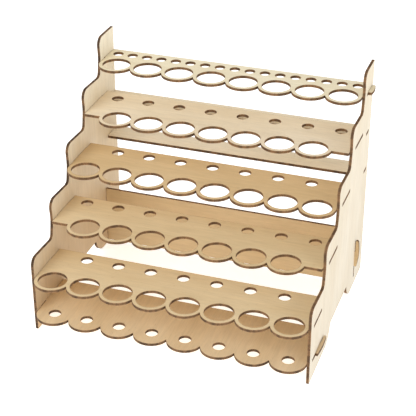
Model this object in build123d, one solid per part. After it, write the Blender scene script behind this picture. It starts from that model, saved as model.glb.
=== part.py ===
from build123d import *
import os

# Paint rack organizer: a knock-down rack of flat plywood pieces held by tabs in slots.
# Origin: centre of the footprint, on the surface the rack stands on. +X to the right,
# +Y to the back, +Z up. Every length is in millimetres.

# ---- driving dimensions ------------------------------------------------------------
PLY = 2.7                 # thickness of every sheet, sold as 3 mm birch ply
INNER_WIDTH = 258.6       # between the inner faces of the side panels
RACK_DEPTH = 218.0        # front of the lowest scallops to the back of the rack
SLOT_GAP = 0.35           # above each tab in its slot, and at its two ends
SHOULDER_GAP = 0.25       # between a sheet's end and the side panel beside it
TAB_RECESS = 0.3          # each plain tab stops this far inside the panel's outer face

RING_PITCH = 32.0         # bottle to bottle along a shelf
RING_HOLE_R = 13.5        # holds a 26 mm bottle
SCALLOP_R = 17.0          # outside of each ring
REST_HOLE_R = 5.75        # small hole under each bottle
BRUSH_PITCH = 15.0
BRUSH_HOLE_R = 5.0
BRUSH_HOLES = 17

ROW_STEP = 41.5           # each ring row lies this far behind the one below
SHELF_RISE = 36.5         # each shelf lies this far above the one below
BASE_TOP = 20.0           # top of the base shelf above the floor

OUTER_X = INNER_WIDTH / 2 + PLY
FRONT_Y = -RACK_DEPTH / 2
BACK_Y = RACK_DEPTH / 2
FIRST_ROW_Y = FRONT_Y + SCALLOP_R

# ---- side panel outline ------------------------------------------------------------
PANEL_FRONT_Y = FIRST_ROW_Y - 2.0
STEP_RISE = 37.5          # from one tread of the panel's stepped front edge to the next
TREAD_Z = 76.2            # top front corner of the lowest tread
TREAD_DROP = 1.6          # each tread falls this much towards the back
RISER_FOOT = 40.0         # from the panel's front to the foot of the first riser
RISER_WAIST = 43.4        # the riser leans back to here, half way up
RISER_HEAD = 41.2         # and forward again to here
WAIST_UP = 18.4           # height of the waist above the riser's foot
TREAD_FILLET = 8.0
FOOT_FILLET = 5.0
WAIST_FILLET = 34.0
STEPS = 4

ARCH_TOP_Z = 16.5         # the underside between the front foot and the back foot
FOOT_ROUND = 19.6         # radius of each foot's end beside the arch
FRONT_FOOT_Y = FIRST_ROW_Y + 52.7     # where the front foot's round end begins
BACK_FOOT_Y = FIRST_ROW_Y + 155.6

# ---- tabs and hooks ----------------------------------------------------------------
# Each hook goes through a slot that is longer than its neck, then slides sideways.
HOOK_GAP = 0.5            # between a hook and the face that it grips
HOOK_INNER_ROUND = 0.8    # radius of the hook's corner on the panel's side
HOOK_TIP_ROUND = 0.6      # radius of its outer corner, as a share of the tip's width
SHEET_OVERLAP = 1.0       # a tab is drawn this far into its sheet, so that the two join
NECK_OVERLAP = 0.5        # and a neck this far into its hook
# (where it starts, its length, neck, slot, how far its outer edge stands off the panel:
#  at the start, at its fullest and at the tip)
BASE_HOOK = (FIRST_ROW_Y + 17.2, 29.2, 17.8, 27.4, 2.2, 3.3, 2.7)
BRUSH_HOOK = (FIRST_ROW_Y + 179.6, 17.7, 14.7, 18.0, 3.2, 4.2, 3.2)
LOWER_HOOK = (22.2, 28.8, 16.8, 29.8, 2.2, 4.0, 3.1)

# ---- shelves: (name, rings, small holes, depth behind the ring row, tab start, tab length)
SHELVES = [
    ("bottle_shelf_1", 8, 7, 52.5, 7.5, 27.0),
    ("bottle_shelf_2", 7, 8, 51.5, 12.3, 30.0),
    ("bottle_shelf_3", 8, 7, 52.3, 12.5, 29.0),
    ("bottle_shelf_4", 7, 8, 56.0, 13.2, 30.0),
]
LEDGE = 1.0               # the straight ends of a 7-ring shelf lie this far before the row
BASE_DEPTH = 56.0
BRUSH_SHELF_LEVEL = 5
BRUSH_ROW_INSET = 10.5    # brush holes in front of the rack's back edge

# ---- braces ------------------------------------------------------------------------
FLAT_BRACE_DEPTH = 24.0
FLAT_BRACE_TAB = 9.6
UPPER_BRACE_TOP = 158.3
MIDDLE_BRACE_TOP = 118.2
LOWER_BRACE_Y = FIRST_ROW_Y + 166.0
LOWER_BRACE_Z = (3.0, 63.0)


def row_y(level):
    """Y of the bottle row whose bottoms rest on the shelf at this level."""
    return FIRST_ROW_Y + level * ROW_STEP


def shelf_top(level):
    return BASE_TOP + level * SHELF_RISE


def row_x(count, pitch):
    """X of each hole in a row that is centred on the rack."""
    return [(i - (count - 1) / 2) * pitch for i in range(count)]


def sheet(face, top):
    """A flat face drawn at Z = 0, thickened downwards from this height."""
    return Pos(0, 0, top - PLY) * extrude(face, PLY)


def holes(face, centres, radius):
    """Cut round holes through a face."""
    cutters = [Pos(x, y) * Circle(radius) for x, y in centres]
    return face - cutters


def box_face(x0, x1, y0, y1):
    return Pos((x0 + x1) / 2, (y0 + y1) / 2) * Rectangle(x1 - x0, y1 - y0)


def hook_face(start, length, neck, slot, root, full, tip):
    """A hook tab in plan: a neck through the right panel and a rounded hook outside it."""
    grip = OUTER_X + HOOK_GAP
    end = start + length
    outer = ThreePointArc(
        (OUTER_X + root, start), (OUTER_X + full, start + 0.5 * length), (OUTER_X + tip, end)
    )
    rest = Polyline((OUTER_X + tip, end), (grip, end), (grip, start), (OUTER_X + root, start))
    hook = make_face([outer, rest])
    inner_corner = hook.vertices().sort_by_distance((grip, end))[0]
    hook = fillet(inner_corner, HOOK_INNER_ROUND)
    outer_corner = hook.vertices().sort_by_distance((OUTER_X + tip, end))[0]
    hook = fillet(outer_corner, (tip - HOOK_GAP) * HOOK_TIP_ROUND)
    inside = INNER_WIDTH / 2 - SHEET_OVERLAP
    return hook + box_face(inside, grip + NECK_OVERLAP, start, start + neck)


def tab_face(start, length):
    """A plain tab in plan, which ends inside the right panel."""
    inside = INNER_WIDTH / 2 - SHEET_OVERLAP
    return box_face(inside, OUTER_X - TAB_RECESS, start, start + length)


def both_sides(face):
    """The face and its mirror image across the rack's middle plane."""
    return face + mirror(face, about=Plane.YZ)


def ring_shelf(rings, row, back, ledge_y):
    """Plan of a shelf: a straight strip with one scalloped ring round each bottle."""
    half = INNER_WIDTH / 2 - SHOULDER_GAP
    face = box_face(-half, half, ledge_y, back)
    for x in row_x(rings, RING_PITCH):
        face += Pos(x, row) * Circle(SCALLOP_R)
    return face


# ---- pieces ------------------------------------------------------------------------
def base_shelf():
    row = row_y(0)
    face = ring_shelf(8, row, row + BASE_DEPTH, row)
    face = holes(face, [(x, row) for x in row_x(8, RING_PITCH)], REST_HOLE_R)
    face += both_sides(hook_face(*BASE_HOOK))
    return sheet(face, shelf_top(0))


def bottle_shelf(level, rings, rests, depth, tab_start, tab_length):
    row = row_y(level - 1)
    ledge = row if rings == 8 else row - LEDGE
    face = ring_shelf(rings, row, row + depth, ledge)
    face += both_sides(tab_face(row + tab_start, tab_length))
    face = holes(face, [(x, row) for x in row_x(rings, RING_PITCH)], RING_HOLE_R)
    face = holes(face, [(x, row_y(level)) for x in row_x(rests, RING_PITCH)], REST_HOLE_R)
    return sheet(face, shelf_top(level))


def brush_shelf():
    row = row_y(BRUSH_SHELF_LEVEL - 1)
    face = ring_shelf(8, row, BACK_Y, row)
    face = holes(face, [(x, row) for x in row_x(8, RING_PITCH)], RING_HOLE_R)
    brush_row = BACK_Y - BRUSH_ROW_INSET
    face = holes(face, [(x, brush_row) for x in row_x(BRUSH_HOLES, BRUSH_PITCH)], BRUSH_HOLE_R)
    face += both_sides(hook_face(*BRUSH_HOOK))
    return sheet(face, shelf_top(BRUSH_SHELF_LEVEL))


def flat_brace(top):
    half = INNER_WIDTH / 2 - SHOULDER_GAP
    middle = BACK_Y - FLAT_BRACE_DEPTH / 2
    face = box_face(-half, half, BACK_Y - FLAT_BRACE_DEPTH, BACK_Y)
    face += both_sides(tab_face(middle - FLAT_BRACE_TAB / 2, FLAT_BRACE_TAB))
    return sheet(face, top)


def lower_brace():
    """Drawn flat with its height along Y, then stood up."""
    half = INNER_WIDTH / 2 - SHOULDER_GAP
    low, high = LOWER_BRACE_Z
    face = box_face(-half, half, low, high)
    face += both_sides(hook_face(*LOWER_HOOK))
    upright = Rot(90, 0, 0) * extrude(face, PLY)
    return Pos(0, LOWER_BRACE_Y + PLY, 0) * upright


def panel_corners():
    """Corners of the side panel in its own plane, Y across and Z up, with a radius at each."""
    corners = [(PANEL_FRONT_Y, 0.0, 0.0), (PANEL_FRONT_Y, TREAD_Z, TREAD_FILLET)]
    for step in range(STEPS):
        y = FIRST_ROW_Y + step * ROW_STEP
        z = TREAD_Z + step * STEP_RISE
        corners.append((y + RISER_FOOT, z - TREAD_DROP, FOOT_FILLET))
        corners.append((y + RISER_WAIST, z - TREAD_DROP + WAIST_UP, WAIST_FILLET))
        corners.append((y + RISER_HEAD, z + STEP_RISE, TREAD_FILLET))
    corners.append((BACK_Y, TREAD_Z + STEPS * STEP_RISE, 0.0))
    corners.append((BACK_Y, 0.0, 0.0))
    return corners


def foot_arch():
    """The opening under a side panel, between the round ends of its two feet."""
    arch = box_face(FRONT_FOOT_Y, BACK_FOOT_Y, 0.0, ARCH_TOP_Z)
    ends = [Pos(y, FOOT_ROUND) * Circle(FOOT_ROUND) for y in (FRONT_FOOT_Y, BACK_FOOT_Y)]
    return arch - ends


def rounded_outline(corners):
    """A closed outline through (u, v, radius) corners, each rounded by its own radius."""
    wire = Polyline(*[(u, v) for u, v, _ in corners], close=True)
    face = make_face(wire)
    for u, v, radius in corners:
        if radius:
            vertex = face.vertices().sort_by_distance((u, v))[0]
            face = fillet(vertex, radius)
    return face


def flat_slot(start, length, top):
    """The slot of a horizontal sheet: the tab lies on its lower edge."""
    return box_face(start - SLOT_GAP, start + length + SLOT_GAP, top - PLY, top + SLOT_GAP)


def hook_slot_start(hook):
    """A hook's slot ends where its neck does, and begins before it by what the hook slides."""
    start, _, neck, slot, _, _, _ = hook
    return start + neck - slot


def panel_slots():
    """Every slot in a side panel, in the panel's own plane."""
    slots = []
    for level, (_, _, _, _, tab_start, tab_length) in enumerate(SHELVES, start=1):
        slots.append(flat_slot(row_y(level - 1) + tab_start, tab_length, shelf_top(level)))
    middle = BACK_Y - FLAT_BRACE_DEPTH / 2
    for top in (UPPER_BRACE_TOP, MIDDLE_BRACE_TOP):
        slots.append(flat_slot(middle - FLAT_BRACE_TAB / 2, FLAT_BRACE_TAB, top))
    slots.append(flat_slot(hook_slot_start(BASE_HOOK), BASE_HOOK[3], shelf_top(0)))
    brush_top = shelf_top(BRUSH_SHELF_LEVEL)
    slots.append(flat_slot(hook_slot_start(BRUSH_HOOK), BRUSH_HOOK[3], brush_top))
    low = hook_slot_start(LOWER_HOOK)
    slots.append(
        box_face(LOWER_BRACE_Y, LOWER_BRACE_Y + PLY + SLOT_GAP, low, low + LOWER_HOOK[3] + SLOT_GAP)
    )
    return slots


def side_panel():
    """The right panel, standing at the rack's right edge."""
    face = rounded_outline(panel_corners()) - foot_arch()
    face -= panel_slots()
    upright = Plane.YZ * face
    return Pos(INNER_WIDTH / 2, 0, 0) * extrude(upright, PLY)


def build():
    right = side_panel()
    pieces = {
        "side_panel_right": right,
        "side_panel_left": mirror(right, about=Plane.YZ),
        "base_shelf": base_shelf(),
        "brush_shelf": brush_shelf(),
        "upper_back_brace": flat_brace(UPPER_BRACE_TOP),
        "middle_back_brace": flat_brace(MIDDLE_BRACE_TOP),
        "lower_back_brace": lower_brace(),
    }
    for level, (name, rings, rests, depth, start, length) in enumerate(SHELVES, start=1):
        pieces[name] = bottle_shelf(level, rings, rests, depth, start, length)
    return pieces


os.makedirs("parts", exist_ok=True)
for name, piece in build().items():
    solids = piece.solids()
    print(name, "solids", len(solids), "volume", round(piece.volume, 1))
    export_step(piece, "parts/" + name + ".step")
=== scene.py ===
from math import radians

import bpy
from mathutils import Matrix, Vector


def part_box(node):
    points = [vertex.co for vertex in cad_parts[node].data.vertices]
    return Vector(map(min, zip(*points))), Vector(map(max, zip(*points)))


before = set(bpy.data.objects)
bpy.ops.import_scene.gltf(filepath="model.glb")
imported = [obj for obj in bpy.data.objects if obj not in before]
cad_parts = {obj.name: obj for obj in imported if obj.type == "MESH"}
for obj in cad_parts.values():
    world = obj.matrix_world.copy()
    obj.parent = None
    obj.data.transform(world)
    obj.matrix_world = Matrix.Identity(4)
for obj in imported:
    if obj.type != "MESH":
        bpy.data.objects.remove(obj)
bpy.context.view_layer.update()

MM = 0.001
THICKNESS = 2.7 * MM      # of every plywood sheet
X, Y, Z = 0, 1, 2
UNIT = (Vector((1, 0, 0)), Vector((0, 1, 0)), Vector((0, 0, 1)))

# ---- one row per sheet: (node, axis through its thickness, axis of its grain, how burnt its
# cut edges are from 0 to 1, axis that its painted shade runs along, colour at that axis's low
# end, colour at its high end)
# The colours are partly each sheet's own tone and partly painted shade, the shade that falls on
# each sheet where it stands: the left panel darkens and warms towards its foot, and the shelves
# darken towards the right panel.
SHEETS = [
    ("side_panel_left", X, Z, 0.95, Z, (0.59, 0.43, 0.258), (0.865, 0.78, 0.595)),
    ("side_panel_right", X, Z, 0.75, Z, (0.69, 0.615, 0.485), (0.73, 0.635, 0.475)),
    ("base_shelf", Z, Y, 0.90, X, (0.72, 0.54, 0.32), (0.665, 0.50, 0.30)),
    ("bottle_shelf_1", Z, X, 0.75, X, (0.715, 0.55, 0.32), (0.685, 0.53, 0.31)),
    ("bottle_shelf_2", Z, X, 0.65, X, (0.705, 0.535, 0.305), (0.635, 0.48, 0.265)),
    ("bottle_shelf_3", Z, X, 0.60, X, (0.65, 0.467, 0.244), (0.64, 0.457, 0.239)),
    ("bottle_shelf_4", Z, X, 0.68, X, (0.79, 0.65, 0.445), (0.755, 0.63, 0.45)),
    ("brush_shelf", Z, X, 0.70, X, (0.84, 0.735, 0.505), (0.80, 0.71, 0.505)),
    ("upper_back_brace", Z, X, 0.65, X, (0.83, 0.725, 0.53), (0.82, 0.715, 0.53)),
    ("middle_back_brace", Z, X, 0.85, X, (0.86, 0.76, 0.585), (0.86, 0.76, 0.585)),
    ("lower_back_brace", Y, X, 0.65, X, (0.60, 0.435, 0.235), (0.62, 0.445, 0.24)),
]
# Each sheet takes its pattern from another part of the same noise, this many mm further on.
PATTERN_STEP = (137.0, 95.9, 54.8)

# The figure of the veneer, as tints of the sheet's colour.
PALE_TINT = (1.045, 1.06, 1.10)
WARM_TINT = (0.955, 0.93, 0.89)
STREAK_SHADES = (0.90, 1.08)
FLECK = (0.42, 0.25, 0.12)
FLECK_STRENGTH = 0.35

# What the laser left: a smoke stain on the veneer, and the burnt plies of the cut itself.
SCORCH = (0.38, 0.21, 0.09)
SCORCH_WIDTH = 1.0 * MM
STAIN_STRENGTHS = (0.15, 0.6)
RIM_STRENGTH = 0.9
CHAR = (0.050, 0.026, 0.012)
BURNT_VENEER = (0.39, 0.215, 0.098)
BURNT_CORE = (0.24, 0.125, 0.052)
GLUE_STRENGTH = 0.8
MARK_STRENGTH = 0.65
UNEVEN_CHAR = 0.60        # how much less burnt the cleanest stretches of an edge are

EDGE_ROUGHNESS = 0.82
FACE_ROUGHNESS = (0.50, 0.66)
GLOSS = 0.35              # a sanded, unvarnished face shines a little
RELIEF = 0.10 * MM
RELIEF_STRENGTH = 0.25

# ---- studio: places and sizes in metres, powers in watts ----------------------------
FLOOR_SIZE = 60.0
FLOOR_COLOUR = (0.90, 0.90, 0.90)
FLOOR_ROUGHNESS = 0.9
FLOOR_GLOW = 0.62
WHITE = (1.0, 1.0, 1.0)
SKY_STRENGTH = 0.75
LIGHTS = [                # (name, place, size, power)
    ("front", (-0.9, -2.0, 1.6), 1.4, 28.0),
    ("side", (2.2, -1.2, 1.2), 1.6, 14.0),
]
LIT_POINT = (0.0, 0.0, 0.1)

CAMERA_PLACE = (0.3320, -0.9547, 0.6758)
CAMERA_LOOKS_DOWN = 29.53     # degrees below level
CAMERA_TURNS_LEFT = 18.83     # degrees from looking along +Y
SENSOR_MM = 36.0
LENS_MM = 108.2

# Where a colour mix node keeps its colours: its first sockets are for mixing numbers.
MIX_A, MIX_B, MIX_RESULT = 6, 7, 2


class Graph:
    """A material's node tree. Each call adds a node and gives back the socket that it makes."""

    def __init__(self, name):
        self.material = bpy.data.materials.new(name)
        self.material.use_nodes = True
        self.tree = self.material.node_tree
        self.shader = self.tree.nodes["Principled BSDF"]

    def put(self, target, value):
        """Link a socket to another, or set it to a number, a vector or an RGB colour."""
        if isinstance(value, bpy.types.NodeSocket):
            self.tree.links.new(value, target)
        elif isinstance(value, tuple) and target.type == "RGBA":
            target.default_value = (*value, 1.0)
        else:
            target.default_value = value

    def node(self, kind, **settings):
        made = self.tree.nodes.new(kind)
        for key, value in settings.items():
            setattr(made, key, value)
        return made

    def math(self, operation, a, b=0.0):
        made = self.node("ShaderNodeMath", operation=operation)
        self.put(made.inputs[0], a)
        self.put(made.inputs[1], b)
        return made.outputs[0]

    def vector_math(self, operation, a, b):
        made = self.node("ShaderNodeVectorMath", operation=operation)
        self.put(made.inputs[0], a)
        self.put(made.inputs[1], b)
        return made.outputs["Value" if operation == "DOT_PRODUCT" else "Vector"]

    def noise(self, vector, scales, detail=2.0, roughness=0.5):
        """Noise with a scale of its own along each axis."""
        made = self.node("ShaderNodeTexNoise")
        self.put(made.inputs["Vector"], self.vector_math("MULTIPLY", vector, scales))
        self.put(made.inputs["Scale"], 1.0)
        self.put(made.inputs["Detail"], detail)
        self.put(made.inputs["Roughness"], roughness)
        return made.outputs["Fac"]

    def span(self, value, low, high, to_low=0.0, to_high=1.0, smooth=True):
        """The value's place between low and high, as a number between the other two."""
        made = self.node("ShaderNodeMapRange", clamp=True)
        made.interpolation_type = "SMOOTHSTEP" if smooth else "LINEAR"
        self.put(made.inputs["Value"], value)
        self.put(made.inputs["From Min"], low)
        self.put(made.inputs["From Max"], high)
        self.put(made.inputs["To Min"], to_low)
        self.put(made.inputs["To Max"], to_high)
        return made.outputs["Result"]

    def blend(self, factor, a, b):
        """Colour a where the factor is 0, and colour b where it is 1."""
        return self.mix(factor, a, b, "MIX")

    def tint(self, colour, by):
        return self.mix(1.0, colour, by, "MULTIPLY")

    def mix(self, factor, a, b, mode):
        made = self.node("ShaderNodeMix", data_type="RGBA", blend_type=mode)
        self.put(made.inputs["Factor"], factor)
        self.put(made.inputs[MIX_A], a)
        self.put(made.inputs[MIX_B], b)
        return made.outputs[MIX_RESULT]

    def bump(self, height, strength, distance):
        made = self.node("ShaderNodeBump")
        self.put(made.inputs["Strength"], strength)
        self.put(made.inputs["Distance"], distance)
        self.put(made.inputs["Height"], height)
        return made.outputs["Normal"]


# ---- plywood -----------------------------------------------------------------------
def stretch(along, across_scale, along_scale):
    """Noise scales in 1/mm, one along this axis and the other across it."""
    return tuple(along_scale if axis == along else across_scale for axis in (X, Y, Z))


def veneer(g, mm, fibre, along, colour_and_painted_shade):
    """A flat face: streaks, broad figure and a few short flecks, all drawn out with the grain."""
    streak = g.noise(mm, stretch(along, 0.35, 0.045), detail=3.0, roughness=0.6)
    figure = g.noise(mm, stretch(along, 0.055, 0.012), detail=3.0, roughness=0.55)
    cloud = g.noise(mm, stretch(along, 0.02, 0.009), detail=1.0)
    fleck = g.noise(mm, stretch(along, 1.5, 0.22), detail=1.0, roughness=0.4)
    warmth = g.span(g.math("ADD", figure, cloud), 0.7, 1.3, smooth=False)
    # The colour that this tints already holds the sheet's painted shade.
    colour = g.tint(colour_and_painted_shade, g.blend(warmth, PALE_TINT, WARM_TINT))
    shade = g.span(g.math("ADD", fibre, streak), 0.65, 1.35, *STREAK_SHADES, smooth=False)
    colour = g.tint(colour, shade)
    return g.blend(g.span(fleck, 0.70, 0.80, 0.0, FLECK_STRENGTH), colour, FLECK)


def scorched(g, mm, flat, colour):
    """The same face with an uneven smoke stain and a thin burnt rim beside every cut."""
    bevel = g.node("ShaderNodeBevel", samples=6)
    g.put(bevel.inputs["Radius"], SCORCH_WIDTH)
    # The bevel's normal turns away from the face's own within its radius of an edge.
    turned = g.math("SUBTRACT", 1.0, g.vector_math("DOT_PRODUCT", bevel.outputs["Normal"], flat))
    smoke = g.noise(mm, (0.35, 0.35, 0.35))
    uneven = g.span(smoke, 0.3, 0.7, *STAIN_STRENGTHS)
    colour = g.blend(g.math("MULTIPLY", g.span(turned, 0.0, 0.30), uneven), colour, SCORCH)
    return g.blend(g.span(turned, 0.10, 0.26, 0.0, RIM_STRENGTH), colour, BURNT_CORE)


def cut_edge(g, mm, marks, depth, through, burnt):
    """A laser-cut edge: three plies with dark glue lines, charred more in some places."""
    off_middle = g.math("ABSOLUTE", g.math("SUBTRACT", depth, 0.5))
    glue = g.math("MULTIPLY", g.span(off_middle, 0.15, 0.18), g.span(off_middle, 0.23, 0.20))
    char = g.noise(mm, stretch(through, 0.16, 0.08))
    colour = g.blend(g.span(off_middle, 0.17, 0.21), BURNT_CORE, BURNT_VENEER)
    colour = g.blend(g.math("MULTIPLY", glue, GLUE_STRENGTH), colour, CHAR)
    colour = g.blend(g.span(marks, 0.35, 0.7, 0.0, MARK_STRENGTH), colour, CHAR)
    return g.blend(g.span(char, 0.40, 0.62, burnt - UNEVEN_CHAR, burnt), colour, CHAR)


def plywood(node, through, along, burnt, painted_shade_axis, low_colour_and_shade, high_colour_and_shade, seed):
    """Laser-cut birch plywood for one sheet, where that sheet stands in the rack, with the shade
    that falls on it there painted into its colour.
    """
    g = Graph("plywood_" + node)
    low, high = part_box(node)
    place = g.node("ShaderNodeTexCoord").outputs["Object"]
    in_mm = g.vector_math("MULTIPLY", place, (1 / MM, 1 / MM, 1 / MM))
    mm = g.vector_math("ADD", in_mm, tuple(step * seed for step in PATTERN_STEP))
    flat = g.node("ShaderNodeNewGeometry").outputs["True Normal"]

    fibre = g.noise(mm, stretch(along, 2.2, 0.05), detail=4.0, roughness=0.6)
    # Painted shade: the colour runs from the low end's to the high end's along this axis, darker
    # where the rack shades the sheet.
    along_shade_axis = g.vector_math("DOT_PRODUCT", place, UNIT[painted_shade_axis])
    painted_shade_fraction = g.span(along_shade_axis, low[painted_shade_axis], high[painted_shade_axis], smooth=False)
    colour_and_painted_shade = g.blend(painted_shade_fraction, low_colour_and_shade, high_colour_and_shade)
    face = scorched(g, mm, flat, veneer(g, mm, fibre, along, colour_and_painted_shade))

    # Fine marks run straight across the thickness of the edge.
    marks = g.noise(mm, stretch(through, 2.6, 0.12), detail=3.0, roughness=0.7)
    along_through = g.vector_math("DOT_PRODUCT", place, UNIT[through])
    depth = g.math("DIVIDE", g.math("SUBTRACT", along_through, low[through]), THICKNESS)
    edge = cut_edge(g, mm, marks, depth, through, burnt)

    # A face looks along the sheet's thickness, and a cut edge looks across it.
    facing = g.math("ABSOLUTE", g.vector_math("DOT_PRODUCT", flat, UNIT[through]))
    is_face = g.math("GREATER_THAN", facing, 0.7)
    g.put(g.shader.inputs["Base Color"], g.blend(is_face, edge, face))
    smoother = [roughness - EDGE_ROUGHNESS for roughness in FACE_ROUGHNESS]
    difference = g.math("MULTIPLY", is_face, g.span(fibre, 0.2, 0.8, *smoother, smooth=False))
    g.put(g.shader.inputs["Roughness"], g.math("ADD", difference, EDGE_ROUGHNESS))
    relief = g.math("ADD", g.math("MULTIPLY", fibre, 0.6), g.math("MULTIPLY", marks, 0.4))
    g.put(g.shader.inputs["Normal"], g.bump(relief, RELIEF_STRENGTH, RELIEF))
    g.put(g.shader.inputs["Specular IOR Level"], GLOSS)
    return g.material


def paint(piece, material):
    piece.data.materials.clear()
    piece.data.materials.append(material)


# ---- studio ------------------------------------------------------------------------
def pale_floor():
    """A white floor that glows a little, so that the rack leaves only a faint shadow on it."""
    g = Graph("studio_floor")
    g.put(g.shader.inputs["Base Color"], FLOOR_COLOUR)
    g.put(g.shader.inputs["Roughness"], FLOOR_ROUGHNESS)
    g.put(g.shader.inputs["Emission Color"], WHITE)
    g.put(g.shader.inputs["Emission Strength"], FLOOR_GLOW)
    bpy.ops.mesh.primitive_plane_add(size=FLOOR_SIZE, location=(0, 0, 0))
    floor = bpy.context.object
    floor.name = "studio_floor"
    paint(floor, g.material)


def white_sky():
    world = bpy.data.worlds.new("studio")
    world.use_nodes = True
    background = world.node_tree.nodes["Background"]
    background.inputs["Color"].default_value = (*WHITE, 1.0)
    background.inputs["Strength"].default_value = SKY_STRENGTH
    bpy.context.scene.world = world


def area_light(name, place, size, watts):
    """A round soft light at this place, turned towards the middle of the rack."""
    data = bpy.data.lights.new(name, "AREA")
    data.shape = "DISK"
    data.size = size
    data.energy = watts
    light = bpy.data.objects.new(name, data)
    light.location = place
    towards = Vector(LIT_POINT) - Vector(place)
    light.rotation_euler = towards.to_track_quat("-Z", "Y").to_euler()
    bpy.context.scene.collection.objects.link(light)


def camera():
    """In front of the rack, to its right and above it."""
    data = bpy.data.cameras.new("camera")
    data.sensor_width = SENSOR_MM
    data.lens = LENS_MM
    seat = bpy.data.objects.new("camera", data)
    seat.location = CAMERA_PLACE
    seat.rotation_euler = (radians(90 - CAMERA_LOOKS_DOWN), 0.0, radians(CAMERA_TURNS_LEFT))
    bpy.context.scene.collection.objects.link(seat)
    bpy.context.scene.camera = seat


for seed, (node, *wood) in enumerate(SHEETS, start=1):
    paint(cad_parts[node], plywood(node, *wood, seed))
pale_floor()
white_sky()
for light in LIGHTS:
    area_light(*light)
camera()
bpy.context.scene.view_settings.view_transform = "Standard"
